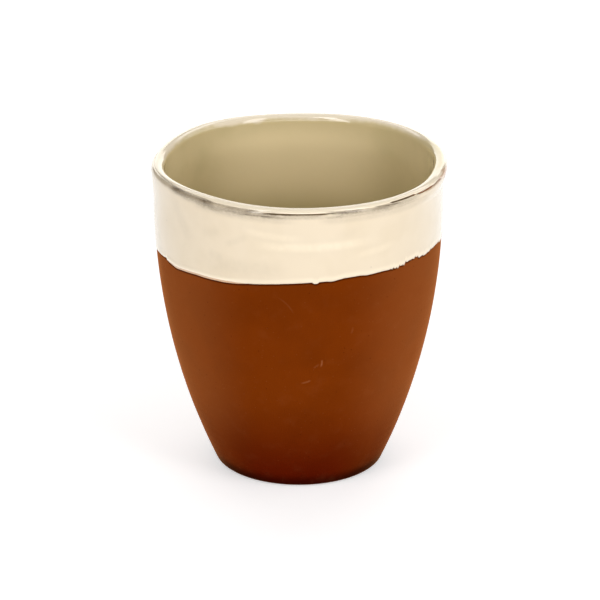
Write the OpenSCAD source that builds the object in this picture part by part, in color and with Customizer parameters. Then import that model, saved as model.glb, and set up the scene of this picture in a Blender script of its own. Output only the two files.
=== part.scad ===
// Clay tea cup with a glazed lining and a glazed band.
// The red clay body is thrown in one piece. Two coats of cream glaze lie on it: a poured lining
// that covers the inside and rolls over the lip, and a dipped band round the outside.
// Millimetres, +Z up, origin on the table under the middle of the foot, +X to the right, -Y to the front.

/* [Clay body] */
// Height of the clay body from the table to the highest place on its lip
body_h = 87.4; // [60:0.1:120]
// Outside diameter of the clay where the wall stands upright
body_d = 79.5; // [60:0.1:110]
// Diameter of the wall's curve at the table, before the foot's edge is rounded
foot_d = 45.6; // [36:0.1:62]
// Thickness of the clay wall
wall_t = 3; // [2:0.1:4.5]
// Height of the clay floor's upper side above the table
floor_z = 5.5; // [3.5:0.1:9]
// Radius of the corner between the floor and the wall, inside
floor_corner_r = 9; // [4:0.5:14]

/* [Foot] */
// Radius of the rounded edge round the foot
foot_edge_r = 2; // [0.5:0.1:4]
// Width of the flat ring that stands on the table
foot_ring_w = 5; // [3:0.1:8]
// Depth of the shallow recess inside the ring
recess_h = 1.4; // [0.6:0.1:2.4]

/* [Lip] */
// Height of the upright collar between the wall's curve and the middle of the lip's rounding
collar_h = 8.7; // [4:0.1:14]
// How far the lip leans out past the upright wall
lip_flare = 0.4; // [0:0.05:1.6]

/* [Glaze] */
// Thickness of both coats of glaze
glaze_t = 0.25; // [0.1:0.05:0.8]
// Depth of the glazed band on the cup's axis, from the top of the clay lip to the dip line
band_h = 22.4; // [12:0.1:36]
// Lean of the dip line, rising to the right, in degrees
dip_lean = 3.7; // [-5:0.1:5]
// Pitch of the dip line, rising to the front, in degrees
dip_pitch = 2.1; // [-5:0.1:5]
// Where the band ends on the outside of the lip, in degrees above level
band_end_a = 10; // [2:1:40]
// Width of the bare line of clay between the band and the lining
break_w = 0.4; // [0.2:0.05:0.9]

/* [Hidden] */
$fn = 96;

clay_red = "#7d3a17";
glaze_cream = "#f3e4c8";

// Steps along each stretch of the outline
wall_steps = 30;
collar_steps = 8;
lip_steps = 20;
corner_steps = 12;

body_r = body_d / 2;
foot_r = foot_d / 2;

// The lip is a half round as thick as the wall
lip_r = wall_t / 2;
lip_x = body_r + lip_flare - lip_r;
lip_z = body_h - lip_r;

// The wall follows one arc, upright at the collar and leaning in to the foot
upright_z = lip_z - collar_h;
wall_taper = body_r - foot_r;
wall_arc_r = (pow(upright_z, 2) + pow(wall_taper, 2)) / (2 * wall_taper);
wall_arc_x = body_r - wall_arc_r;
inner_arc_r = wall_arc_r - wall_t;

// The foot's edge rolls from the wall's arc to the table
foot_edge_a = asin((upright_z - foot_edge_r) / (wall_arc_r - foot_edge_r));
foot_edge_x = wall_arc_x + (wall_arc_r - foot_edge_r) * cos(foot_edge_a);
recess_r = foot_edge_x - foot_ring_w;

// The inside corner rolls from the wall's inner arc to the floor
floor_corner_z = floor_z + floor_corner_r;
floor_corner_a = asin((upright_z - floor_corner_z) / (inner_arc_r - floor_corner_r));
floor_corner_x = wall_arc_x + (inner_arc_r - floor_corner_r) * cos(floor_corner_a);

// The lining ends on the lip above the bare line
lining_end_a = band_end_a + break_w / lip_r * 180 / PI;

// The band is drawn down past the dip line and then cut along it
dip_z = body_h - band_h;
dip_drop = body_r * (tan(abs(dip_lean)) + tan(abs(dip_pitch)));
band_margin = 2;
band_skirt_a = asin((upright_z - dip_z + dip_drop + band_margin) / wall_arc_r);
cut_size = 2 * (body_d + body_h);

// Points on an arc about [x, z], from one angle to another
function arc(x, z, r, from, to, steps) =
    [for (i = [0:steps]) let (a = from + (to - from) * i / steps) [x + r * cos(a), z + r * sin(a)]];

// Eases from 0 to 1, level at both ends
function ease(t) = t * t * (3 - 2 * t);

// The collar at radius r, from the wall's arc up to the lip
function collar(r) =
    [for (i = [0:collar_steps]) let (t = i / collar_steps)
        [r + lip_flare * ease(t), upright_z + collar_h * t]];

function reversed(points) = [for (i = [len(points) - 1:-1:0]) points[i]];

// The lip's rounding, lifted off the clay by a coat
function lip(coat, from, to) = arc(lip_x, lip_z, lip_r + coat, from, to, lip_steps);

// The outside of the wall from an angle below the collar up to the lip, lifted off the clay by a coat
function outside(coat, low_a) = concat(
    arc(wall_arc_x, upright_z, wall_arc_r + coat, -low_a, 0, wall_steps),
    collar(body_r + coat)
);

// The inside from the lip down to the middle of the floor, lifted off the clay by a coat
function inside(coat) = concat(
    reversed(collar(body_r - wall_t - coat)),
    arc(wall_arc_x, upright_z, inner_arc_r - coat, 0, -floor_corner_a, wall_steps),
    arc(floor_corner_x, floor_corner_z, floor_corner_r - coat, -floor_corner_a, -90, corner_steps),
    [[0, floor_z + coat]]
);

// The underside: the recess, its shoulder, the standing ring and the rounded edge
underside = concat(
    [[0, recess_h], [recess_r - recess_h, recess_h], [recess_r, 0]],
    arc(foot_edge_x, foot_edge_r, foot_edge_r, -90, -foot_edge_a, corner_steps)
);

// The fired red clay: wall, floor and foot in one piece
module clay_body() {
    color(clay_red)
        rotate_extrude()
            polygon(concat(underside, outside(0, foot_edge_a), lip(0, 0, 180), inside(0)));
}

// The poured coat: floor, inside wall and the top of the lip, as far as the bare line
module liner_glaze() {
    color(glaze_cream)
        rotate_extrude()
            polygon(concat(
                lip(0, lining_end_a, 180),
                inside(0),
                reversed(inside(glaze_t)),
                lip(glaze_t, 180, lining_end_a)
            ));
}

// Everything above the dip line
module above_dip_line() {
    translate([0, 0, dip_z])
        rotate([-dip_pitch, -dip_lean, 0])
            translate([-cut_size / 2, -cut_size / 2, 0])
                cube(cut_size);
}

// The dipped coat: from the bare line on the lip down the outside to the leaning dip line
module band_glaze() {
    color(glaze_cream)
        intersection() {
            rotate_extrude()
                polygon(concat(
                    outside(glaze_t, band_skirt_a),
                    lip(glaze_t, 0, band_end_a),
                    lip(0, band_end_a, 0),
                    reversed(outside(0, band_skirt_a))
                ));
            above_dip_line();
        }
}

clay_body();
liner_glaze();
band_glaze();
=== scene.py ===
"""Looks of a clay tea cup: a terracotta body, a poured lining and a dipped band of cream glaze.

The file is laid out as an add-on and is run as a script. Lengths are in metres, in the packed
part's frame: +Z up, the origin on the table under the foot, -Y to the front and +X to the right.
Angles round the cup are measured from +X towards +Y, so the front is at -90 degrees.
"""

import math

import bpy
from bpy.props import FloatProperty, FloatVectorProperty, IntProperty, PointerProperty
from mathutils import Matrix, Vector


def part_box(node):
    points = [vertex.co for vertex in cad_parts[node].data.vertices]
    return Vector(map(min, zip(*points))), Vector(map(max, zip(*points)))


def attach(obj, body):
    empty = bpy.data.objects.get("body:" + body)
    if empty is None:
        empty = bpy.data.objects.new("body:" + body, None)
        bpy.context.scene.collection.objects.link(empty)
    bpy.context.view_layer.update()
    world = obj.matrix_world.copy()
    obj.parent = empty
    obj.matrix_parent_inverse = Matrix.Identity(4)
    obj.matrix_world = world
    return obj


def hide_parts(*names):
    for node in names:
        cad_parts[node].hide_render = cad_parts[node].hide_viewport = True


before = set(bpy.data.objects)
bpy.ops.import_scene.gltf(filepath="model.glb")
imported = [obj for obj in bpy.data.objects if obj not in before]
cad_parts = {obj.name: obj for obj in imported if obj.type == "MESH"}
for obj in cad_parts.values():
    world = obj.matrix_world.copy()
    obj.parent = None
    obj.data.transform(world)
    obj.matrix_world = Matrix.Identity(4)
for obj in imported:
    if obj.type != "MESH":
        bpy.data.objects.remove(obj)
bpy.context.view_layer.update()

bl_info = {
    "name": "Clay tea cup",
    "version": (1, 0, 0),
    "blender": (4, 5, 0),
    "location": "3D View > Sidebar > Tea cup",
    "description": "Throws, lines and dips a clay tea cup and sets it on a plain stage",
    "category": "Add Mesh",
}

MM = 0.001
DEGREE = math.radians(1)

_, CLAY_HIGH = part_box("clay_body")
LINING_LOW, LINING_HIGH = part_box("liner_glaze")

# Steps along each stretch of the outline, and of the collar where the lining's outline starts
WALL_STEPS = 50
COLLAR_STEPS = 10
LIP_STEPS = 24
INSIDE_STEPS = 24
CORNER_STEPS = 12
FLOOR_STEPS = 4
UNDER_LIP_STEPS = 4

# Points closer than this are one point, in an outline and in a mesh
SAME_POINT = 0.001 * MM
SAME_VERTEX = 0.002 * MM

# The band's outline starts this far below the dip line and ends at this angle on the lip
BAND_SKIRT = 8 * MM
BAND_LIP_A = 120 * DEGREE

# Places round the cup hold their middle, their half width and the width of their soft ends, in
# degrees. Noise round the cup holds how often it changes, its seed and its detail. Stretches of
# height hold where a change starts and where it is complete.

# The rim wanders in one to five lobes, rises from the shoulder up and is pushed out in one place
LOBES = (1, 2, 3, 4, 5)
SHOULDER = 6 * MM
PUSHED = (-10, 14, 22)
PUSH_START, PUSH_FULL = 5 * MM, 2.4 * MM

# Marks of the fingers: how often they change, how much more often upward, and where they start
FINGERS_RATE = 1.7
FINGERS_UP = 2.2
FINGERS_FROM = (0, 12 * MM)

# Where the dip line leaves its plane: each place, and the rise in mm
DIP_MARKS = (
    (-160, 3, 11, 0.95),
    (-136, 5, 12, 0.3),
    (-122, 4, 9, -0.28),
    (-94, 6, 8, 0.12),
    (-83.6, 0.2, 1.3, -0.45),
    (-76, 1, 2.5, -0.15),
    (-70, 3, 4, 0.3),
    (-50, 3, 3, -0.12),
    (-41, 3.2, 1.4, 0.55),
    (-31, 1.5, 3, -0.25),
    (-8, 4, 6, -0.8),
    (20, 10, 14, -0.4),
    (75, 8, 20, 0.5),
    (128, 6, 12, -0.5),
)

# The dip line's step on the left, its slow waves, and its teeth, which are long where it is ragged
DIP_STEP = (-180, 26, 0.4)
DIP_STEP_FADE = (-140, 20, 60)
DIP_STEP_RISE = 0.6 * MM
DIP_WAVES = (6, 5.2, 1)
DIP_WAVE_RISE = 0.1 * MM
DIP_TEETH = (80, 2.9, 3)
DIP_TOOTH_RISE = 0.06 * MM
DIP_RAGGED = (-27, 22, 8)
DIP_RAGGED_RISE = 1 * MM

# Where the break between the coats leaves its level on the lip: each place, and the rise in degrees
BREAK_MARKS = (
    (-168, 10, 30, 30),
    (-91, 9, 8, -13),
    (-49, 5, 6, 8),
    (-31, 3, 6, -6),
    (2, 6, 20, -65),
    (100, 20, 30, -8),
)
BREAK_WAVES = (9, 3.7, 3)
BREAK_WAVE_A = 0.06

# Where the coats draw apart from their overlap and leave bare clay: each place, and how far, as a
# share of the full width
GAPS = (
    (-90, 9, 5, 1.1),
    (-47, 5.5, 2, 1.25),
    (-34, 4, 3, 1.15),
    (90, 62, 20, 0.85),
)
OVERLAP = 0.35
OVERLAP_WAVES = (16, 8.1, 3)
OVERLAP_MOST_A = 0.1

# Where the band gathers into a thick bead and has a film below it, and where the lining rolls over
BEADED = (-135, 20, 20)
FILMED = (-134, 14, 10)
ROLLED = (-12, 18, 20)
FILM_EDGE = 0.1 * MM
FILM_COAT = 0.03 * MM

# How the lining's rows crowd towards the lip, and the share of the rows that is a coat's front
CROWDING = 2.2
FRONT_ROWS = 0.5001

# Worn and thin places along the lip, some of them painted shade and dark reflection under it: each
# place, then in mm its height up the lip, its fall over
# 10 degrees to the right, its half thickness and the softness of its lower side, and how dark it is
WEAR_AND_SHADE = (
    (-164, 8, 9, 1.9, 0.25, 0.2, 1.6, 0.13),
    (-151, 6, 8, 1.45, 0.35, 0.2, 1.6, 0.26),
    (-137, 7, 7, 1.05, 0.12, 0.16, 2, 0.63),
    (-129, 7, 8, -0.1, 0, 0.3, 1.3, 0.12),
    (-118, 8, 6, 0.65, 0, 0.3, 2.1, 0.38),
    # Broad painted shade under the lip
    (-113, 14, 10, -0.7, 0, 0.5, 1.5, 0.16),
    (-109, 6, 6, 0.2, 0.1, 0.3, 1, 0.22),
    (-106, 3, 4, -0.35, -0.2, 0.04, 0.16, 0.25),
    (-104, 3, 5, 0.8, 0, 0.2, 0.9, 0.24),
    (-93, 6, 6, 0.46, -0.1, 0.06, 0.16, 0.85),
    (-93, 9, 6, 0.05, 0, 0.25, 0.9, 0.3),
    (-82, 4, 2, 0.52, 0, 0.05, 0.14, 0.45),
    (-77, 2, 2, -0.2, 0, 0.1, 0.6, 0.2),
    (-73, 4, 4, 0.85, 0.1, 0.06, 0.9, 0.5),
    (-65, 7, 7, 0.5, 0, 0.1, 1.6, 0.36),
    # Broad painted shade under the lip
    (-56, 20, 8, -0.9, 0, 0.5, 1.5, 0.13),
    (-55, 3.5, 3, 0.7, 0.3, 0.04, 0.2, 0.55),
    (-50, 6, 7, 0.4, 0, 0.1, 1.4, 0.33),
    (-47, 5, 1.5, 1.05, 0, 0.1, 0.2, 0.9),
    (-35, 4, 1.5, 0.85, 0.15, 0.1, 0.2, 0.7),
    (-25, 4, 4, 0.62, 0.15, 0.1, 0.3, 0.4),
)
FALL_RUN = math.sin(10 * DEGREE)
WEAR_CRISP = 0.18
WEAR_MOST = 0.93

# Where the glaze is thin and warm over the lip, in the same way
WARM = (
    (-27, 4, 5, 0.5, 0.2, 0.2, 0.3, 0.4),
    (-16, 4, 5, 0.45, 0.35, 0.3, 0.3, 0.6),
    (-4, 7, 6, -0.6, 1, 1, 0.5, 0.65),
    (10, 8, 8, -1.3, 0, 1.3, 0.8, 0.5),
)

# Scuffs on the clay: angle, height, length, width and bend in mm, tilt in degrees, and how pale
SCUFFS = (
    (-80.4, 42, 2.6, 0.8, 0.1, 84, 0.5),
    (-82.6, 41.2, 2.2, 0.9, 0.1, 40, 0.2),
    (-86.9, 36.2, 3.2, 0.9, 0.2, 20, 0.3),
    (-94.6, 60, 7, 0.7, -0.6, -48, 0.12),
    (-68.1, 51.3, 2.4, 0.9, 0.1, 80, 0.14),
    (40, 30, 5, 0.4, 0.4, 35, 0.4),
    (150, 45, 4, 0.5, 0.3, -30, 0.4),
)
# How squarely a place faces a scuff that shows on it
SCUFF_FACING = 0.7

# Grey smudges on the band, partly marks and partly painted shade, and, with a minus sign, pale
# streaks that are painted highlights, in the same way
SMUDGES_SHADE_AND_HIGHLIGHTS = (
    (-126, 78, 8, 4.4, 0.1, 15, 0.045),
    (-124, 72, 6, 3.6, 0.1, -10, 0.05),
    (-115, 77, 9, 3, 0.2, 25, 0.05),
    (-112, 69.5, 30, 8, 0.3, 1, 0.07),
    (-72, 80, 8, 3.8, 0.1, 5, 0.03),
    (-142, 79, 16, 6, 0.5, -55, 0.06),
    # Painted highlight: a pale streak across the front of the band
    (-84, 76.6, 36, 3.6, 0.5, 1, -0.4),
    (-100, 79.5, 18, 3, 0.4, -6, -0.25),
    (-60, 74, 14, 3, 0.3, 8, -0.22),
    (-25, 70, 9, 3, 0.2, 30, 0.05),
    (60, 76, 14, 2.2, 0.4, 4, -0.35),
    (140, 74, 6, 3, 0.2, -12, 0.08),
)

# The clay's colours: places round the cup, and stretches of height and of radius in mm
# Painted shade: the clay is darker towards the foot, most on the front
CLAY_FRONT = (-93, 14, 36)
CLAY_LEFT = (180, 6, 66)
CLAY_RIGHT = (0, 8, 66)
CLAY_STAIN = (-24, 10, 12)
STAIN_FROM = (83, 84)
# Painted sheen: from this height up, the clay's left and right sides are lighter and more orange
SIDE_SHEEN_FROM = (2, 26)
CLAY_SHADE_UNTIL = (0, 34)
# Painted shade: the clay darkens at the foot's edge by the table, more on the sides
FOOT_SHADE_UNTIL = (0.8, 5)
FOOT_SIDE_SHADE_UNTIL = (2.5, 9)
FOOT_SHADE_RADIUS = (18, 20.5)
STANDING_UNTIL = (0, 0.1)
# Painted shadow: the clay is darker just below the band's edge
BAND_EDGE_SHADE_UNTIL = (0.1, 0.75)

# The glaze's colours, in the same way
DIP_LEFT = (-134, 14, 12)
# Painted highlight: a pale line along the bead over the dip line
BEAD_HIGHLIGHT_FROM = (0.3, 0.7)
BEAD_HIGHLIGHT_UNTIL = (0.9, 2)
PATCHES_FROM = (0.3, 0.85)
# Painted shade: the lining darkens lower inside the cup
LINING_SHADE_FROM = (8, 52)
LINING_SHADE_UNTIL = (54, 76)
# Painted light: the lining is paler high on the back wall
LIT_BACK = (92, 12, 38)
LIT_FROM = (56, 70)
LIT_UNTIL = (79, 87)
# Painted light: the crest is paler on the back of the lip
CREST_LIT_BACK = (95, 28, 22)
CREST_UNTIL = (2, 3.2)
CREST_WAVES = (7, 4.4, 4)
# Where the crest's colour reaches further in, and by how many mm: at 84 degrees a painted
# highlight, at 117 partly a pale patch of glaze and partly a painted highlight
CREST_AND_HIGHLIGHT_MARKS = ((117, 8, 6, -1.3), (84, 14, 18, -0.7))

# Softboxes, by the setting that holds their power: place, width and height in metres
SOFTBOXES = {
    "overhead": ((0, 0, 1.2), 1.2, 1.2),
    "behind": ((0, 0.85, 1), 1.9, 0.36),
    "front": ((0, -1.4, 0.25), 1.6, 0.4),
    "left": ((-0.505, -0.747, 0.67), 0.17, 1.15),
    "right": ((0.6, -0.68, 0.67), 0.3, 1.15),
    "side": ((1.2, 0.1, 0.35), 1, 0.7),
    "backdrop": ((0, 1.5, 0.4), 1.5, 0.8),
}
WHITE = (1.0, 1.0, 1.0)
FLOOR_HALF = 4.0


# Settings that a user would change


def setting(kind, scale=1, **fixed):
    """A kind of setting: it takes a name, a description and a default, which is then scaled."""

    def made(name, description, default):
        if isinstance(default, tuple):
            default = [value * scale for value in default]
        else:
            default = default * scale
        return kind(name=name, description=description, default=default, **fixed)

    return made


length = setting(FloatProperty, unit="LENGTH", precision=5)
turn = setting(FloatProperty, DEGREE, subtype="ANGLE")
amount = setting(FloatProperty, min=0.0)
count = setting(IntProperty, min=12)
colour = setting(FloatVectorProperty, size=3, subtype="COLOR")
lobe_lengths = setting(FloatVectorProperty, MM, size=len(LOBES), unit="LENGTH", precision=5)
lobe_turns = setting(FloatVectorProperty, DEGREE, size=len(LOBES), unit="ROTATION")


def group(name, kind):
    return PointerProperty(type=kind, name=name, description=kind.__doc__)


class CupForm(bpy.types.PropertyGroup):
    """Sizes of the thrown clay"""

    lip_top: length("Lip top", "Highest place on the clay lip", CLAY_HIGH.z)
    lip_reach: length("Lip reach", "Outside radius of the clay lip", CLAY_HIGH.x)
    lip_flare: length("Lip flare", "How far the lip leans out past the wall", 0.4 * MM)
    collar_h: length("Collar", "Height of the upright collar under the lip", 8.7 * MM)
    wall: length("Wall", "Thickness of the clay wall", 3 * MM)
    foot_d: length("Foot", "Diameter of the wall's curve at the table", 45.6 * MM)
    foot_edge_r: length("Foot edge", "Radius of the foot's rounded edge", 2 * MM)
    foot_ring_w: length("Foot ring", "Width of the ring that stands on the table", 5 * MM)
    recess_h: length("Recess", "Depth of the recess inside the foot ring", 1.4 * MM)
    floor_z: length("Floor", "Height of the clay floor inside", LINING_LOW.z)
    floor_corner_r: length("Floor corner", "Radius between the floor and the wall", 9 * MM)
    turns: count("Turns", "Facets round the clay", 480)


class CupHand(bpy.types.PropertyGroup):
    """How the hand-thrown rim wanders from a true circle"""

    out: lobe_lengths("Out", "Outward wander, by lobes", (0.237, 0.206, 0.176, 0.447, 0.243))
    out_crest: lobe_turns("Out crest", "Where an outward lobe crests", (16, -86, 50, 33, 36))
    up: lobe_lengths("Up", "Rise and fall of the rim, by lobes", (0.133, 0.114, 0.1, 0.158, 0.153))
    up_crest: lobe_turns("Up crest", "Where a rise has its crest", (-40, 15, -8, -37, -2))
    drop: length("Drop", "How far the rim lies below its top on average", 0.4 * MM)
    push: length("Push", "How far the lip is pushed out on the right", 0.45 * MM)
    uneven: length("Unevenness", "Unevenness that the fingers leave in the wall", 0.1 * MM)


class CupGlaze(bpy.types.PropertyGroup):
    """Sizes of the two coats of glaze"""

    coat: length("Coat", "Thickness of a coat of glaze", LINING_HIGH.z - CLAY_HIGH.z)
    edge: length("Edge", "Width over which a coat rounds off", 0.45 * MM)
    bead: length("Bead", "Extra thickness of the band along the dip line", 0.18 * MM)
    roll: length("Roll", "Extra thickness of the lining on the lip", 0.12 * MM)
    film: length("Film", "Width of the film of glaze below the bead", 0.55 * MM)
    sink: length("Sink", "How far the back of a coat is sunk into the clay", 0.1 * MM)
    dip_z: length("Dip line", "Height of the dip line on the cup's axis", 64.75 * MM)
    dip_lean: turn("Lean", "Lean of the dip line, rising to the right", 3.7)
    dip_pitch: turn("Pitch", "Pitch of the dip line, rising to the front", 2.1)
    break_a: turn("Break", "Where the coats part on the lip, above level", 33)
    break_w: length("Break width", "Width of the bare line between the coats", 0.4 * MM)
    turns: count("Band turns", "Facets round the band", 1000)
    rows: count("Band rows", "Facets along the band", 46)
    lining_turns: count("Lining turns", "Facets round the lining", 700)
    lining_rows: count("Lining rows", "Facets along the lining", 66)


class CupColours(bpy.types.PropertyGroup):
    """Colours of the clay and the glaze"""

    clay: colour("Clay", "Fired red clay", (0.162, 0.0275, 0.0015))
    # Painted sheen on the clay's left and right sides
    clay_flush: colour("Flushed clay", "Clay on the sides, fired lighter", (0.328, 0.096, 0.024))
    # Painted shade near the foot, darkest on the front
    clay_low: colour("Low clay", "Clay near the foot, fired redder", (0.07, 0.001, 0.0001))
    # The clay's own darker patches and specks, and painted shade at the foot's edge and under the
    # band's edge
    clay_deep: colour("Deep clay", "Darker patches and the foot's edge", (0.02, 0.001, 0.0003))
    clay_pale: colour("Pale clay", "Dry and scuffed clay", (0.4, 0.15, 0.06))
    cream: colour("Cream", "Glaze of the band", (0.78, 0.654, 0.48))
    cream_deep: colour("Deep cream", "Darker patches in the band", (0.743, 0.615, 0.436))
    lining: colour("Lining", "Glaze inside the cup", (0.77, 0.632, 0.355))
    lining_deep: colour("Deep lining", "Darker patches inside the cup", (0.725, 0.6, 0.327))
    # Painted shade low on the inside
    lining_low: colour("Low lining", "Glaze pooled low on the inside", (0.44, 0.355, 0.155))
    # Painted light high on the back wall inside
    lining_pale: colour("Pale lining", "Thinner glaze high at the back", (1.0, 0.83, 0.51))
    lip: colour("Lip", "Glaze on the crest of the lip", (0.95, 0.82, 0.62))
    # Painted light on the back of the lip
    lip_pale: colour("Pale lip", "Thick glaze on the back of the lip", (0.99, 0.86, 0.655))
    thin: colour("Thin glaze", "Glaze so thin that clay shows through", (0.135, 0.092, 0.048))
    peach: colour("Peach glaze", "Glaze thinned over red clay", (0.55, 0.265, 0.115))
    floor: colour("Stage", "Floor that the cup stands on", (0.9, 0.9, 0.9))


class CupStage(bpy.types.PropertyGroup):
    """Camera and lights"""

    pitch: turn("Pitch", "How steeply the camera looks down on the cup", 21.92)
    distance: length("Distance", "From the camera to the middle of the cup", 1022 * MM)
    middle_z: length("Middle", "Height that the distance is measured to", 43.5 * MM)
    look_x: length("Look right", "How far right of the axis the camera looks", 0.27 * MM)
    look_z: length("Look height", "Height that the camera looks at", 45.9 * MM)
    lens: amount("Lens", "Focal length in millimetres", 222.34)
    overhead: amount("Overhead", "Softbox above, in watts", 1.5)
    behind: amount("Above behind", "Long softbox above and behind, in watts", 4.2)
    front: amount("Front", "Wide softbox low in front, in watts", 3.8)
    left: amount("Left", "Tall softbox on the left, in watts", 3.5)
    right: amount("Right", "Tall softbox on the right, in watts", 3.8)
    side: amount("Side", "Softbox beside the cup on the right, in watts", 2.4)
    backdrop: amount("Backdrop", "Wide softbox low behind the cup, in watts", 6.4)
    warmth: colour("Warmth", "Colour of the softbox low behind the cup", (1.0, 0.97, 0.88))
    room: amount("Room", "Brightness of the room", 0.18)
    glow: amount("Glow", "Brightness of the lit floor", 0.445)


class TeaCup(bpy.types.PropertyGroup):
    """Everything that can be set on the cup"""

    form: group("Form", CupForm)
    hand: group("Hand", CupHand)
    glaze: group("Glaze", CupGlaze)
    colours: group("Colours", CupColours)
    stage: group("Stage", CupStage)


# Node trees written as formulas


def plug(slot, value):
    """Gives a node's input a value, or links it to another node's output."""
    if isinstance(value, Field):
        value = value.socket
    if isinstance(value, bpy.types.NodeSocket):
        slot.id_data.links.new(value, slot)
    else:
        slot.default_value = value


def fill(node, feeds):
    """Plugs a node's inputs, by name or number."""
    for key, value in feeds.items():
        plug(node.inputs[key], value)


def add(tree, kind, feeds=None, **settings):
    """Adds a node. Feeds are its inputs by name or number, and settings are its own attributes."""
    node = tree.nodes.new(kind)
    for name, value in settings.items():
        setattr(node, name, value)
    fill(node, feeds or {})
    return node


def operation(kind):
    """Arithmetic that adds a Math node of a kind to a field's tree."""
    return lambda field, *others: field.math(kind, *others)


class Field:
    """A number in a node tree. Arithmetic on it adds the Math nodes that work it out."""

    def __init__(self, socket):
        self.socket = socket
        self.tree = socket.id_data

    def math(self, operation, *others):
        feeds = dict(enumerate((self, *others)))
        return Field(add(self.tree, "ShaderNodeMath", feeds, operation=operation).outputs[0])

    def __rsub__(self, other):
        return self.math("MULTIPLY_ADD", -1, other)

    __add__ = __radd__ = operation("ADD")
    __sub__ = operation("SUBTRACT")
    __mul__ = __rmul__ = operation("MULTIPLY")
    __truediv__ = operation("DIVIDE")
    __pow__ = operation("POWER")
    root = operation("SQRT")
    size = operation("ABSOLUTE")
    cosine = operation("COSINE")
    sine = operation("SINE")
    at_least = operation("MAXIMUM")
    at_most = operation("MINIMUM")

    def span(self, low, high, kind="LINEAR"):
        """0 at low and 1 at high, and held at the ends."""
        feeds = {"Value": self, "From Min": low, "From Max": high}
        node = add(self.tree, "ShaderNodeMapRange", feeds, interpolation_type=kind)
        return Field(node.outputs["Result"])

    def ease(self, low, high):
        """As span, with level ends."""
        return self.span(low, high, "SMOOTHSTEP")

    def fall(self, low, high):
        """As ease, from 1 at low to 0 at high."""
        return 1 - self.ease(low, high)


def new_tree(name, kind, inputs, outputs):
    """A node group with named sockets: the tree, its inputs as fields by name, and its output."""
    tree = bpy.data.node_groups.new(name, kind)
    for label, socket_type in outputs.items():
        tree.interface.new_socket(label, in_out="OUTPUT", socket_type=socket_type)
    for label, (socket_type, default) in inputs.items():
        socket = tree.interface.new_socket(label, in_out="INPUT", socket_type=socket_type)
        if default is not None:
            socket.default_value = default
    source = add(tree, "NodeGroupInput")
    fields = {label: Field(source.outputs[label]) for label in inputs}
    return tree, fields, add(tree, "NodeGroupOutput")


def parts(tree, source):
    """The three parts of a vector as fields."""
    return [Field(socket) for socket in add(tree, "ShaderNodeSeparateXYZ", {0: source}).outputs]


def scaled(tree, source, factor):
    feeds = {0: source, "Scale": factor}
    return add(tree, "ShaderNodeVectorMath", feeds, operation="SCALE").outputs[0]


def noise(tree, source, detail):
    """Noise from about -1 to 1."""
    feeds = {"Vector": source, "Scale": 1, "Detail": detail}
    return Field(add(tree, "ShaderNodeTexNoise", feeds).outputs[0]) * 2 - 1


class Around:
    """Where a point lies round the cup, as the cosine and sine of its angle."""

    def __init__(self, cosine, sine):
        self.cosine = cosine
        self.sine = sine
        self.tree = cosine.tree

    def at(self, radius, height):
        """The point at a radius and height."""
        feeds = {0: self.cosine * radius, 1: self.sine * radius, 2: height}
        return add(self.tree, "ShaderNodeCombineXYZ", feeds).outputs[0]

    def window(self, centre, half, soft):
        """1 within half of the centre's angle and 0 past soft more, in degrees."""
        middle = centre * DEGREE
        facing = self.cosine * math.cos(middle) + self.sine * math.sin(middle)
        return facing.ease(math.cos((half + soft) * DEGREE), math.cos(half * DEGREE))

    def marked(self, value, table, unit=1):
        """A value with a table of marks added: each a place and its size in the unit."""
        for *place, size in table:
            value = value + self.window(*place) * (size * unit)
        return value

    def noise(self, rate, seed, detail):
        """Noise that runs round the cup and closes on itself."""
        return noise(self.tree, self.at(rate, seed), detail)

    def marks(self, build, labels, table, **feeds):
        """The sum of a table of marks: in each row a shader group's values, and a strength."""
        total = 0
        for *row, strength in table:
            feeds.update(zip(labels, row))
            mark = use(self.tree, build, cosine=self.cosine, sine=self.sine, **feeds)
            total = mark * strength + total
        return total


# Outlines of the cup, in the plane of its axis


def arc(x, z, r, start, stop, steps):
    """Points on an arc about (x, z), between two angles in radians."""
    angles = [start + (stop - start) * i / steps for i in range(steps + 1)]
    return [(x + r * math.cos(a), z + r * math.sin(a)) for a in angles]


def ease(t):
    return t * t * (3 - 2 * t)


def joined(*stretches):
    """Stretches of an outline in a row, without the points that two of them share."""
    points = []
    for point in sum(stretches, []):
        if not points or math.dist(point, points[-1]) > SAME_POINT:
            points.append(point)
    return points


def line_length(points):
    return sum(math.dist(a, b) for a, b in zip(points, points[1:]))


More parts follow.
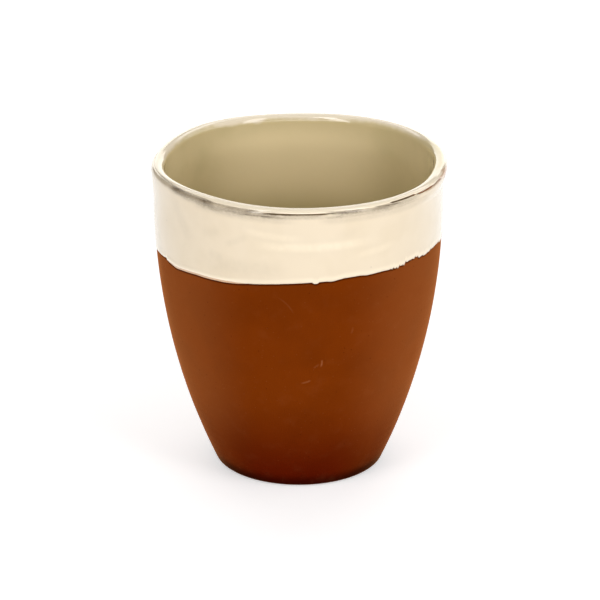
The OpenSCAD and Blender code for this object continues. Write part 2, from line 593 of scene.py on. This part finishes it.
class Outline:
    """The clay's outline, worked out from the cup's sizes."""

    def __init__(self, form):
        self.form = form
        self.body_r = form.lip_reach - form.lip_flare
        self.lip_r = form.wall / 2
        self.lip_x = form.lip_reach - self.lip_r
        self.lip_z = form.lip_top - self.lip_r
        self.upright_z = self.lip_z - form.collar_h
        taper = self.body_r - form.foot_d / 2
        self.arc_r = (self.upright_z**2 + taper**2) / (2 * taper)
        self.arc_x = self.body_r - self.arc_r
        self.inner_r = self.arc_r - form.wall

    def wall_a(self, z):
        """The angle on the wall's arc, below level, at a height."""
        return math.asin((self.upright_z - z) / self.arc_r)

    def rolled(self, wall_r, roll_r, z):
        """Where a rounding meets the wall's arc: its angle below level and its middle's radius."""
        angle = math.asin((self.upright_z - z) / (wall_r - roll_r))
        return angle, self.arc_x + (wall_r - roll_r) * math.cos(angle)

    def collar(self, r):
        form = self.form
        shares = [i / COLLAR_STEPS for i in range(COLLAR_STEPS + 1)]
        return [(r + form.lip_flare * ease(t), self.upright_z + form.collar_h * t) for t in shares]

    def lip(self, stop):
        return arc(self.lip_x, self.lip_z, self.lip_r, 0, stop, LIP_STEPS)

    def outside(self, low_a):
        wall = arc(self.arc_x, self.upright_z, self.arc_r, -low_a, 0, WALL_STEPS)
        return joined(wall, self.collar(self.body_r))

    def inside(self):
        form = self.form
        corner_r = form.floor_corner_r
        corner_z = form.floor_z + corner_r
        corner_a, corner_x = self.rolled(self.inner_r, corner_r, corner_z)
        floor = [(corner_x * i / FLOOR_STEPS, form.floor_z) for i in reversed(range(FLOOR_STEPS))]
        return joined(
            self.collar(self.body_r - form.wall)[::-1],
            arc(self.arc_x, self.upright_z, self.inner_r, 0, -corner_a, INSIDE_STEPS),
            arc(corner_x, corner_z, corner_r, -corner_a, -math.pi / 2, CORNER_STEPS),
            floor,
        )

    def clay(self):
        """From the middle of the recess out, up, over the lip and down to the floor's middle."""
        form = self.form
        edge_r = form.foot_edge_r
        edge_a, edge_x = self.rolled(self.arc_r, edge_r, edge_r)
        ring_x = edge_x - form.foot_ring_w
        recess_x = ring_x - form.recess_h
        recess = [(recess_x * i / FLOOR_STEPS, form.recess_h) for i in range(FLOOR_STEPS + 1)]
        edge = arc(edge_x, edge_r, edge_r, -math.pi / 2, -edge_a, CORNER_STEPS)
        outside = self.outside(edge_a)
        return joined(recess, [(ring_x, 0)], edge, outside, self.lip(math.pi), self.inside())

    def band(self, low_a, high_a):
        """Up the outside and on over the lip as far as an angle."""
        return joined(self.outside(low_a), self.lip(high_a))

    def under_lip(self):
        """The last stretch of the outside under the lip's rounding."""
        return self.collar(self.body_r)[-UNDER_LIP_STEPS - 1 :]

    def lining(self):
        """From under the lip's outside over it and down to the floor's middle."""
        return joined(self.under_lip(), self.lip(math.pi), self.inside())


def new_object(name, data):
    obj = bpy.data.objects.new(name, data)
    bpy.context.scene.collection.objects.link(obj)
    return obj


def outline_object(name, points):
    """An outline as a curve object for a geometry tree to read."""
    curve = bpy.data.curves.new(name, "CURVE")
    curve.dimensions = "3D"
    spline = curve.splines.new("POLY")
    spline.points.add(len(points) - 1)
    for target, (x, z) in zip(spline.points, points):
        target.co = (x, 0, z, 1)
    return new_object(name, curve)


# Geometry trees

GEOMETRY = "NodeSocketGeometry"
NUMBER = "NodeSocketFloat"
VECTOR = "NodeSocketVector"

SHEET_INPUTS = {
    "Outline": ("NodeSocketObject", None),
    "Material": ("NodeSocketMaterial", None),
    "Turns": ("NodeSocketInt", None),
    "Rows": ("NodeSocketInt", None),
}


def numbers(values):
    """Number inputs for a tree, from their values by name."""
    return {label: (NUMBER, value) for label, value in values.items()}


def geometry_tree(name, inputs):
    return new_tree(name, "GeometryNodeTree", inputs, {"Geometry": GEOMETRY})


def position(tree):
    return add(tree, "GeometryNodeInputPosition").outputs[0]


def wander_tree(hand, outline):
    """The hand-thrown wander, which every piece of the cup follows alike."""
    made = bpy.data.node_groups.get("hand_wander")
    if made:
        return made
    values = {
        "Drop": hand.drop,
        "Push": hand.push,
        "Unevenness": hand.uneven,
        "Lip top": outline.form.lip_top,
        "Shoulder": outline.upright_z - SHOULDER,
    }
    for kind, sizes, crests in (("Out", hand.out, hand.out_crest), ("Up", hand.up, hand.up_crest)):
        for lobes, size, crest in zip(LOBES, sizes, crests):
            values[f"{kind} {lobes}"] = size
            values[f"{kind} crest {lobes}"] = crest
    inputs = {"Geometry": (GEOMETRY, None), **numbers(values)}
    tree, given, sink = geometry_tree("hand_wander", inputs)

    x, y, z = parts(tree, position(tree))
    angle = y.math("ARCTAN2", x)
    around = Around(angle.cosine(), angle.sine())

    def waves(kind):
        total = 0
        for lobes in LOBES:
            crest = angle - given[f"{kind} crest {lobes}"]
            total = (crest * lobes).cosine() * given[f"{kind} {lobes}"] + total
        return total

    lip_top = given["Lip top"]
    height = z / lip_top
    fingers = around.noise(FINGERS_RATE, height * FINGERS_UP * FINGERS_RATE, 1)
    fingers = fingers * given["Unevenness"] * z.ease(*FINGERS_FROM)
    pushed = around.window(*PUSHED) * z.ease(lip_top - PUSH_START, lip_top - PUSH_FULL)
    out = waves("Out") * (height * height) + fingers + given["Push"] * pushed
    up = (waves("Up") - given["Drop"]) * z.ease(given["Shoulder"], lip_top)
    feeds = {"Geometry": given["Geometry"], "Offset": around.at(out, up)}
    plug(sink.inputs[0], add(tree, "GeometryNodeSetPosition", feeds).outputs[0])
    return tree


def turned_sheet(tree, turns, rows):
    """A sheet to bend round the axis: its mesh, and each point's turn and share of the rows."""
    feeds = {"Size X": 1, "Size Y": 1, "Vertices X": turns + 1, "Vertices Y": rows}
    sheet = add(tree, "GeometryNodeMeshGrid", feeds).outputs["Mesh"]
    x, y, _ = parts(tree, position(tree))
    angle = (x + 0.5) * math.tau
    return sheet, Around(angle.cosine(), angle.sine()), y + 0.5


def outline_in(tree, given):
    return add(tree, "GeometryNodeObjectInfo", {"Object": given["Outline"]}).outputs["Geometry"]


def keep(tree, sheet, name, distance):
    """Keeps a distance in mm at each point, for a material to read."""
    feeds = {"Geometry": sheet, "Name": name, "Value": distance / MM}
    return add(tree, "GeometryNodeStoreNamedAttribute", feeds).outputs[0]


def finish_tree(tree, given, sink, sheet, around, r, z, wander):
    """Bends the sheet to its radius and height, wanders it, closes its seam and paints it."""
    feeds = {"Geometry": sheet, "Position": around.at(r, z)}
    bent = add(tree, "GeometryNodeSetPosition", feeds).outputs[0]
    hand = add(tree, "GeometryNodeGroup", {"Geometry": bent}, node_tree=wander).outputs[0]
    feeds = {"Geometry": hand, "Distance": SAME_VERTEX}
    closed = add(tree, "GeometryNodeMergeByDistance", feeds).outputs[0]
    smooth = add(tree, "GeometryNodeSetShadeSmooth", {0: closed}).outputs[0]
    feeds = {"Geometry": smooth, "Material": given["Material"]}
    plug(sink.inputs[0], add(tree, "GeometryNodeSetMaterial", feeds).outputs[0])


def dip_line(given, around):
    """The height of the dip line: a leaning plane with the marks of the hand that held the cup."""
    lean, pitch = given["Lean"].math("TANGENT"), given["Pitch"].math("TANGENT")
    plane = around.cosine * lean - around.sine * pitch
    height = plane * given["Body radius"] + given["Dip height"]
    height = around.marked(height, DIP_MARKS, MM)
    step = around.window(*DIP_STEP) * around.window(*DIP_STEP_FADE)
    height = height + step * DIP_STEP_RISE
    teeth = around.window(*DIP_RAGGED) * DIP_RAGGED_RISE + DIP_TOOTH_RISE
    height = height + around.noise(*DIP_WAVES) * DIP_WAVE_RISE
    return height + around.noise(*DIP_TEETH) * teeth


def clay_tree(wander, values):
    """Turns the clay's outline round the axis, with one row for each of its points.

    The attribute below_dip keeps how far, in mm, a point is below the dip line.
    """
    tree, given, sink = geometry_tree("thrown_clay", {**SHEET_INPUTS, **numbers(values)})
    sheet, around, row = turned_sheet(tree, given["Turns"], given["Rows"])
    index = (row * (given["Rows"] - 1)).math("ROUND")
    feeds = {"Geometry": outline_in(tree, given), "Value": position(tree), "Index": index}
    sample = add(tree, "GeometryNodeSampleIndex", feeds, data_type="FLOAT_VECTOR")
    r, _, z = parts(tree, sample.outputs[0])
    sheet = keep(tree, sheet, "below_dip", dip_line(given, around) - z)
    finish_tree(tree, given, sink, sheet, around, r, z, wander)
    return tree


def break_edges(given, around):
    """Where the band ends and the lining starts along an outline, apart or overlapping."""
    middle = given["Break angle"] + around.noise(*BREAK_WAVES) * BREAK_WAVE_A
    middle = around.marked(middle, BREAK_MARKS, DEGREE)
    width = around.marked(around.noise(*OVERLAP_WAVES) * 0.5 - OVERLAP, GAPS)
    half = (width * given["Break width"] / given["Lip radius"] * 0.5).at_least(-OVERLAP_MOST_A)
    edges = (middle - half, middle + half)
    return [given["Length to lip"] + edge * given["Lip radius"] for edge in edges]


def band_edges(given, around):
    """Where the band starts and ends along its outline, its bead and its film."""
    height = dip_line(given, around)
    slope = ((given["Upright height"] - height) / given["Arc radius"]).math("ARCSINE")
    start = (given["Low angle"] - slope) * given["Arc radius"]
    end, _ = break_edges(given, around)
    bead = around.window(*BEADED) * 0.7 + 0.3
    return start, end, bead, around.window(*FILMED) * given["Film"]


def lining_edges(given, around):
    """Where the lining starts and ends along its outline, its bead and its film."""
    _, start = break_edges(given, around)
    return start, given["Length"], around.window(*ROLLED), 0


def rounded(distance, width):
    """0 at an edge and 1 past the width, as a quarter circle."""
    rest = 1 - distance.span(0, width)
    return (1 - rest * rest).root()


def coat_tree(name, wander, values, edges, from_edge, ends_on_axis):
    """Lays a coat along an outline, rounds its edges and closes it with a back sunk into the clay.

    The attribute named by from_edge keeps how far, in mm, a point is from the coat's start, and
    the attribute up_lip how far it is from where the lip's rounding starts.
    """
    tree, given, sink = geometry_tree(name, {**SHEET_INPUTS, **numbers(values)})
    sheet, around, row = turned_sheet(tree, given["Turns"], given["Rows"] * 2 + 1)
    front = row.math("LESS_THAN", FRONT_ROWS)
    share = 1 - (row * 2 - 1).size()
    if ends_on_axis:
        share = share ** CROWDING
    else:
        share = 0.5 - (share * math.pi).cosine() * 0.5

    start, end, bead, film = edges(given, around)
    from_start = (end - start) * share
    from_end = (end - start) - from_start
    along = start + from_start
    feeds = {"Curves": outline_in(tree, given), "Length": along}
    sample = add(tree, "GeometryNodeSampleCurve", feeds, mode="LENGTH")
    r, _, z = parts(tree, sample.outputs["Position"])
    tangent_r, _, tangent_z = parts(tree, sample.outputs["Tangent"])
    sheet = keep(tree, sheet, from_edge, from_start)
    sheet = keep(tree, sheet, "up_lip", along - given["Length to lip"])

    edge = given["Edge"]
    past_film = from_start - film
    fade = rounded(past_film, edge)
    if not ends_on_axis:
        fade = fade * rounded(from_end, edge)
    roll = past_film.ease(0, edge) - past_film.ease(edge, edge * 4)
    skin = given["Coat"] * fade + given["Bead"] * bead * roll
    skin = skin + from_start.span(0, FILM_EDGE) * FILM_COAT
    lift = skin * front - given["Sink"] * fade * (1 - front)
    r, z = r + tangent_z * lift, z - tangent_r * lift
    finish_tree(tree, given, sink, sheet, around, r, z, wander)
    return tree


def grow(name, tree, outline, values, material, turns, rows):
    """Runs a geometry tree on an outline and keeps the result as a plain mesh at the origin."""
    line = outline_object(name + "_outline", outline)
    values = {**values, "Outline": line, "Material": material, "Turns": turns, "Rows": rows}
    obj = new_object(name, bpy.data.meshes.new(name))
    modifier = obj.modifiers.new(name, "NODES")
    modifier.node_group = tree
    for item in tree.interface.items_tree:
        if item.in_out == "INPUT":
            modifier[item.identifier] = values[item.name]
    graph = bpy.context.evaluated_depsgraph_get()
    mesh = bpy.data.meshes.new_from_object(obj.evaluated_get(graph), depsgraph=graph)
    obj.modifiers.remove(modifier)
    obj.data = mesh
    mesh.name = name
    bpy.data.objects.remove(line)
    return obj


# Materials


def use(tree, build, **feeds):
    """Places a shader group, which is built once and then used again, and gives its output."""
    made = bpy.data.node_groups.get(build.__name__) or build()
    feeds = {label.capitalize(): value for label, value in feeds.items()}
    return Field(add(tree, "ShaderNodeGroup", feeds, node_tree=made).outputs[0])


def mask_tree(name, inputs):
    return new_tree(name, "ShaderNodeTree", inputs, {"Mask": NUMBER})


def clouds():
    """Soft patches about as wide as Size in mm, from 0 to 1."""
    inputs = {"Place": (VECTOR, None), **numbers({"Size": 10, "Detail": 2})}
    tree, given, sink = mask_tree("clouds", inputs)
    source = scaled(tree, given["Place"], given["Size"] ** -1)
    plug(sink.inputs[0], noise(tree, source, given["Detail"]) * 0.9 + 0.5)
    return tree


def flecks():
    """Specks of a Size in mm. Share says how many of the places, a Spacing apart, have one."""
    inputs = {"Place": (VECTOR, None), **numbers({"Spacing": 3, "Size": 0.4, "Share": 0.5})}
    tree, given, sink = mask_tree("flecks", inputs)
    source = scaled(tree, given["Place"], given["Spacing"] ** -1)
    cell = add(tree, "ShaderNodeTexVoronoi", {"Vector": source, "Scale": 1})
    distance = Field(cell.outputs["Distance"]) * given["Spacing"]
    chosen = parts(tree, cell.outputs["Color"])[0].math("LESS_THAN", given["Share"])
    plug(sink.inputs[0], distance.fall(given["Size"] * 0.25, given["Size"] * 0.5) * chosen)
    return tree


def mark_tree(name, *labels):
    """A mask of one mark, with how squarely a place faces it and how far right of it that is."""
    tree, given, sink = mask_tree(name, numbers(dict.fromkeys(("Cosine", "Sine", *labels), 0)))
    angle = given["Angle"] * DEGREE
    cosine, sine = angle.cosine(), angle.sine()
    facing = given["Cosine"] * cosine + given["Sine"] * sine
    return tree, given, sink, facing, given["Sine"] * cosine - given["Cosine"] * sine


SCUFF_INPUTS = ("Angle", "Level", "Length", "Width", "Bend", "Tilt")


def scuff():
    """One light rub mark on the wall, bent and tilted, with soft ends."""
    tree, given, sink, facing, right = mark_tree("scuff", "Radius", "Height", *SCUFF_INPUTS)
    tilt = given["Tilt"] * DEGREE
    cosine, sine = tilt.cosine(), tilt.sine()
    right = right * given["Radius"]
    up = given["Height"] - given["Level"]
    along = (right * cosine + up * sine) / given["Length"] * 2
    bent = up * cosine - right * sine - along * along * given["Bend"]
    across = bent / given["Width"] * 2
    shape = along.size().fall(0.4, 1) * across.size().fall(0.1, 1)
    plug(sink.inputs[0], shape * facing.math("GREATER_THAN", SCUFF_FACING))
    return tree


WORN_INPUTS = ("Angle", "Near", "Ends", "Level", "Fall", "Half", "Soft")


def worn_place():
    """One mark along the lip, with soft ends and a soft lower side: a thin place in the glaze,
    which in some rows stands for painted shade.
    """
    tree, given, sink, facing, right = mark_tree("worn_place", "Lip", *WORN_INPUTS)
    near, half = given["Near"] * DEGREE, given["Half"]
    ends = facing.ease((near + given["Ends"] * DEGREE).cosine(), near.cosine())
    above = given["Lip"] - given["Level"] + right * given["Fall"] / FALL_RUN
    lower = (above * -1).fall(half, half + given["Soft"])
    plug(sink.inputs[0], ends * above.fall(half, half + WEAR_CRISP) * lower)
    return tree


def lip_wear(around, table):
    """How much a table of marks covers on and under the lip: worn and thin glaze, with painted
    shade and dark reflection among the worn places.
    """
    lip = attribute(around.tree, "up_lip")
    streaks = around.noise(14, lip * 1.2, 3)
    bits = around.noise(60, lip * 3, 2)
    lip = lip + streaks * 0.16 + bits * 0.06
    worn = around.marks(worn_place, WORN_INPUTS, table, lip=lip)
    return (worn * (streaks * 0.5 + bits * 0.5 + 1)).at_least(0).at_most(WEAR_MOST)


def new_material(name):
    material = bpy.data.materials.new(name)
    material.use_nodes = True
    return material, material.node_tree, material.node_tree.nodes["Principled BSDF"]


def places(tree):
    """The place on the cup in mm, where it lies round the cup, and its radius and height."""
    place = scaled(tree, add(tree, "ShaderNodeTexCoord").outputs["Object"], 1 / MM)
    x, y, z = parts(tree, place)
    r = (x * x + y * y).root()
    return place, Around(x / r, y / r), r, z


def layered(tone, *layers):
    """A colour with others laid over it in turn, each with the share that it covers."""
    for shade, share in layers:
        node = add(share.tree, "ShaderNodeMix", {0: share}, data_type="RGBA")
        for slot, value in ((6, tone), (7, shade)):
            is_socket = isinstance(value, bpy.types.NodeSocket)
            plug(node.inputs[slot], value if is_socket else (*value, 1))
        tone = node.outputs[2]
    return tone


def relief(height, depth):
    """The normal of fine relief: its height from 0 to 1, and the depth that 1 stands for."""
    feeds = {"Strength": 1, "Distance": depth, "Height": height}
    return add(height.tree, "ShaderNodeBump", feeds).outputs["Normal"]


def attribute(tree, name):
    return Field(add(tree, "ShaderNodeAttribute", attribute_name=name).outputs["Fac"])


def terracotta(colours):
    """Bare fired clay: patchy red brown with grog, iron specks, throwing rings and scuffs. Its
    sides carry painted sheen, and its foot and the clay under the band carry painted shade.
    """
    material, tree, shader = new_material("bare_terracotta")
    place, around, radius, height = places(tree)
    patches = use(tree, clouds, place=place, size=15)
    dust = use(tree, clouds, place=place, size=4, detail=5)
    grain = use(tree, clouds, place=place, size=0.6, detail=4)
    sway = use(tree, clouds, place=place, size=22)
    grog = use(tree, flecks, place=place, spacing=1.5, size=0.4, share=0.6)
    iron = use(tree, flecks, place=place, spacing=2.3, size=0.5, share=0.4)
    marks = around.marks(scuff, SCUFF_INPUTS, SCUFFS, radius=radius, height=height)
    # Painted sheen: lighter, more orange clay on the left and right sides
    sides = around.window(*CLAY_LEFT) + around.window(*CLAY_RIGHT)
    side_sheen = sides * height.ease(*SIDE_SHEEN_FROM) * (0.42 + patches * 0.25)
    # Painted shade: darker towards the foot, most on the front
    low = height.fall(*CLAY_SHADE_UNTIL) * (around.window(*CLAY_FRONT) * 0.42 + 0.44)
    # Painted shade at the foot's edge, deeper on the sides; the darker patches mixed in with it are
    # the clay's own
    foot = height.fall(*FOOT_SHADE_UNTIL) * 0.85 + sides * height.fall(*FOOT_SIDE_SHADE_UNTIL) * 0.35
    dark_patches_and_foot_shade = patches.ease(0.3, 0.9) * 0.12 + foot * radius.ease(*FOOT_SHADE_RADIUS)
    pale = marks * (grain * 0.8 + 0.3) + height.fall(*STANDING_UNTIL) * 0.4
    # Painted shadow just below the band's edge
    seam = attribute(tree, "below_dip").fall(*BAND_EDGE_SHADE_UNTIL)
    stain = layered(colours.thin, (colours.clay_pale, around.window(*CLAY_STAIN) * 0.6))
    tone = layered(
        colours.clay,
        (colours.clay_flush, side_sheen),
        (colours.clay_low, low),
        (colours.clay_deep, dark_patches_and_foot_shade.at_most(1)),
        (colours.clay_pale, dust.ease(0.5, 1) * 0.03),
        (colours.clay_pale, grog * 0.1),
        (colours.clay_deep, iron * 0.35),
        (colours.clay_pale, pale.at_most(1)),
        (colours.clay_deep, seam * 0.8),
        (stain, height.ease(*STAIN_FROM)),
    )
    rings = (height * 2.4 + sway * 5).sine() * 0.2
    looks = {
        "Base Color": tone,
        "Roughness": dust * 0.2 + 0.55 - marks * 0.1,
        "Normal": relief(grain + rings + grog * 0.4, 0.03 * MM),
        "Specular IOR Level": 0,
        "Sheen Weight": 0.45,
        "Sheen Roughness": 0.27,
        "Sheen Tint": (1, 0.42, 0.16, 1),
    }
    fill(shader, looks)
    return material


def band_tone(colours, around, radius, height, patches, fine):
    """The band: patchy cream with grey smudges that are partly painted shade, pale streaks that are
    painted highlights, a painted highlight along the bead and a peach fringe.
    """
    from_dip = attribute(around.tree, "from_dip")
    left = around.window(*DIP_LEFT)
    # Painted highlight of lip colour along the bead, strongest on the left
    bead = from_dip.ease(*BEAD_HIGHLIGHT_FROM) * from_dip.fall(*BEAD_HIGHLIGHT_UNTIL) * (left * 0.5 + 0.42)
    fringe = from_dip.fall(left * 0.5 + 0.02, left * 0.5 + 0.12) * 0.75
    # Grey smudges, partly painted shade, and pale streaks, which are painted highlights
    smudges = around.marks(scuff, SCUFF_INPUTS, SMUDGES_SHADE_AND_HIGHLIGHTS, radius=radius, height=height)
    smudges = smudges * (fine * 0.8 + 0.6)
    return layered(
        colours.cream,
        (colours.cream_deep, patches.ease(*PATCHES_FROM) * 0.6),
        (colours.lip, (bead - smudges).at_least(0)),
        (colours.thin, smudges.at_least(0)),
        (colours.peach, fringe),
    )


def lining_tone(colours, around, height, patches):
    """The lining: a pale crest on the lip and a deeper colour past it, with painted shade lower
    inside and painted light high on the back wall.
    """
    # Painted shade lower inside the cup
    lining_shade = (height + patches * 4).fall(*LINING_SHADE_UNTIL) * height.ease(*LINING_SHADE_FROM)
    # Painted light high on the back wall
    lit_back_wall = around.window(*LIT_BACK) * height.ease(*LIT_FROM) * height.fall(*LIT_UNTIL)
    inside = layered(
        colours.lining,
        (colours.lining_deep, patches.ease(*PATCHES_FROM)),
        (colours.lining_low, lining_shade),
        (colours.lining_pale, lit_back_wall * 0.8),
    )
    from_break = attribute(around.tree, "from_break") + around.noise(*CREST_WAVES) * 0.9
    # The crest's colour reaches further in at the marks, partly as painted highlights
    past_crest = around.marked(from_break, CREST_AND_HIGHLIGHT_MARKS).ease(*CREST_UNTIL)
    # Painted light on the back of the lip
    crest = layered(colours.lip, (colours.lip_pale, around.window(*CREST_LIT_BACK)))
    return layered(crest, (inside, past_crest))


def cream_glaze(name, colours, dipped):
    """Glossy cream glaze that breaks brown where it is thin along the lip, with painted shade and
    dark reflection under the lip.
    """
    material, tree, shader = new_material(name)
    place, around, radius, height = places(tree)
    patches = use(tree, clouds, place=place, size=9)
    fine = use(tree, clouds, place=place, size=1.6, detail=3)
    pins = use(tree, flecks, place=place, spacing=2.6, size=0.3, share=0.5)
    warm = lip_wear(around, WARM)
    # Worn glaze on the lip, with painted shade and dark reflection under it
    bare = lip_wear(around, WEAR_AND_SHADE)
    if dipped:
        iron = use(tree, flecks, place=place, spacing=6, size=0.6, share=0.35)
        tone = band_tone(colours, around, radius, height, patches, fine)
        tone = layered(tone, (colours.peach, warm), (colours.thin, iron * 0.2))
    else:
        tone = lining_tone(colours, around, height, patches)
        tone = layered(tone, (colours.peach, warm))
    looks = {
        "Base Color": layered(tone, (colours.thin, bare)),
        "Roughness": fine * 0.05 + 0.09 + bare * 0.25,
        "Normal": relief(patches * 0.7 + fine * 0.3 - pins * 0.2, 0.05 * MM),
        "Coat Weight": 0.7,
        "Coat Roughness": 0.08,
    }
    fill(shader, looks)
    return material


# Stage


def aimed(name, data, place, aim):
    """A light or camera in its place, turned to what it is aimed at."""
    obj = new_object(name, data)
    obj.location = place
    obj.rotation_euler = (Vector(aim) - Vector(place)).to_track_quat("-Z", "Y").to_euler()
    return obj


def softbox(name, place, aim, wide, high, power, tint):
    light = bpy.data.lights.new(name, "AREA")
    light.shape = "RECTANGLE"
    light.size = wide
    light.size_y = high
    light.energy = power
    light.color = tint
    aimed(name, light, place, aim)


def stage_floor(tone, glow):
    """A plain white floor, lit from below as a light table is."""
    corners = [(-1, -1), (1, -1), (1, 1), (-1, 1)]
    mesh = bpy.data.meshes.new("stage_floor")
    mesh.from_pydata([(x * FLOOR_HALF, y * FLOOR_HALF, 0) for x, y in corners], [], [(0, 1, 2, 3)])
    material, _, shader = new_material("stage_white")
    looks = {
        "Base Color": (*tone, 1.0),
        "Roughness": 0.9,
        "Specular IOR Level": 0.0,
        "Emission Color": (*WHITE, 1.0),
        "Emission Strength": glow,
    }
    fill(shader, looks)
    mesh.materials.append(material)
    return new_object("stage_floor", mesh)


# Operators and the sidebar


def own(piece, node):
    """Makes a finished piece stand for its CAD node."""
    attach(piece, "root")
    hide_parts(node)


def dip_values(glaze, outline):
    """The values that place the dip line."""
    return {
        "Lean": glaze.dip_lean,
        "Pitch": glaze.dip_pitch,
        "Body radius": outline.body_r,
        "Dip height": glaze.dip_z,
    }


def coat_values(glaze, outline):
    """The values that both coats share."""
    return {
        "Break angle": glaze.break_a,
        "Break width": glaze.break_w,
        "Lip radius": outline.lip_r,
        "Coat": glaze.coat,
        "Edge": glaze.edge,
        "Sink": glaze.sink,
    }


class TEACUP_OT_throw_body(bpy.types.Operator):
    """Throw the red clay body"""

    bl_idname = "tea_cup.throw_body"
    bl_label = "Throw the body"

    def execute(self, context):
        cup = context.scene.tea_cup
        outline = Outline(cup.form)
        points = outline.clay()
        values = dip_values(cup.glaze, outline)
        tree = clay_tree(wander_tree(cup.hand, outline), values)
        material = terracotta(cup.colours)
        turns, rows = cup.form.turns, len(points)
        piece = grow("terracotta_body", tree, points, values, material, turns, rows)
        own(piece, "clay_body")
        return {"FINISHED"}


class TEACUP_OT_pour_lining(bpy.types.Operator):
    """Pour the glaze that lines the cup and rolls over its lip"""

    bl_idname = "tea_cup.pour_lining"
    bl_label = "Pour the lining"

    def execute(self, context):
        cup = context.scene.tea_cup
        glaze = cup.glaze
        outline = Outline(cup.form)
        points = outline.lining()
        values = {
            **coat_values(glaze, outline),
            "Bead": glaze.roll,
            "Length to lip": line_length(outline.under_lip()),
            "Length": line_length(points),
        }
        wander = wander_tree(cup.hand, outline)
        tree = coat_tree("poured_coat", wander, values, lining_edges, "from_break", True)
        material = cream_glaze("lining_cream", cup.colours, False)
        turns, rows = glaze.lining_turns, glaze.lining_rows
        piece = grow("poured_lining", tree, points, values, material, turns, rows)
        own(piece, "liner_glaze")
        return {"FINISHED"}


class TEACUP_OT_dip_band(bpy.types.Operator):
    """Dip the rim for the cream band"""

    bl_idname = "tea_cup.dip_band"
    bl_label = "Dip the band"

    def execute(self, context):
        cup = context.scene.tea_cup
        glaze = cup.glaze
        outline = Outline(cup.form)
        low_a = outline.wall_a(glaze.dip_z - BAND_SKIRT)
        values = {
            **coat_values(glaze, outline),
            **dip_values(glaze, outline),
            "Bead": glaze.bead,
            "Film": glaze.film,
            "Low angle": low_a,
            "Upright height": outline.upright_z,
            "Arc radius": outline.arc_r,
            "Length to lip": line_length(outline.outside(low_a)),
        }
        wander = wander_tree(cup.hand, outline)
        tree = coat_tree("dipped_coat", wander, values, band_edges, "from_dip", False)
        material = cream_glaze("band_cream", cup.colours, True)
        points = outline.band(low_a, BAND_LIP_A)
        piece = grow("dipped_band", tree, points, values, material, glaze.turns, glaze.rows)
        own(piece, "band_glaze")
        return {"FINISHED"}


class TEACUP_OT_set_stage(bpy.types.Operator):
    """Set the floor, the lights and the camera"""

    bl_idname = "tea_cup.set_stage"
    bl_label = "Set the stage"

    def execute(self, context):
        scene = context.scene
        cup = scene.tea_cup
        stage = cup.stage
        stage_floor(cup.colours.floor, stage.glow)

        middle = Vector((0.0, 0.0, stage.middle_z))
        for name, (place, wide, high) in SOFTBOXES.items():
            tint = stage.warmth if name == "backdrop" else WHITE
            softbox(f"softbox_{name}", place, middle, wide, high, getattr(stage, name), tint)
        world = bpy.data.worlds.new("soft_room")
        world.use_nodes = True
        fill(world.node_tree.nodes["Background"], {"Color": (*WHITE, 1.0), "Strength": stage.room})
        scene.world = world

        camera = bpy.data.cameras.new("camera")
        camera.lens = stage.lens
        back = Vector((0.0, -math.cos(stage.pitch), math.sin(stage.pitch))) * stage.distance
        aim = Vector((stage.look_x, 0.0, stage.look_z))
        scene.camera = aimed("camera", camera, middle + back, aim)
        scene.view_settings.view_transform = "Standard"
        return {"FINISHED"}


STEPS = (TEACUP_OT_throw_body, TEACUP_OT_pour_lining, TEACUP_OT_dip_band, TEACUP_OT_set_stage)


class TEACUP_PT_sidebar(bpy.types.Panel):
    """The steps of the cup's making and its settings"""

    bl_label = "Clay tea cup"
    bl_space_type = "VIEW_3D"
    bl_region_type = "UI"
    bl_category = "Tea cup"

    def draw(self, context):
        cup = context.scene.tea_cup
        for step in STEPS:
            self.layout.operator(step.bl_idname)
        for settings in (cup.form, cup.hand, cup.glaze, cup.colours, cup.stage):
            box = self.layout.box()
            for name in settings.__annotations__:
                box.prop(settings, name)


CLASSES = (CupForm, CupHand, CupGlaze, CupColours, CupStage, TeaCup, *STEPS, TEACUP_PT_sidebar)


def register():
    for item in CLASSES:
        bpy.utils.register_class(item)
    bpy.types.Scene.tea_cup = PointerProperty(type=TeaCup)


def unregister():
    del bpy.types.Scene.tea_cup
    for item in reversed(CLASSES):
        bpy.utils.unregister_class(item)


def main():
    register()
    bpy.ops.tea_cup.throw_body()
    bpy.ops.tea_cup.pour_lining()
    bpy.ops.tea_cup.dip_band()
    bpy.ops.tea_cup.set_stage()


if __name__ == "__main__":
    main()
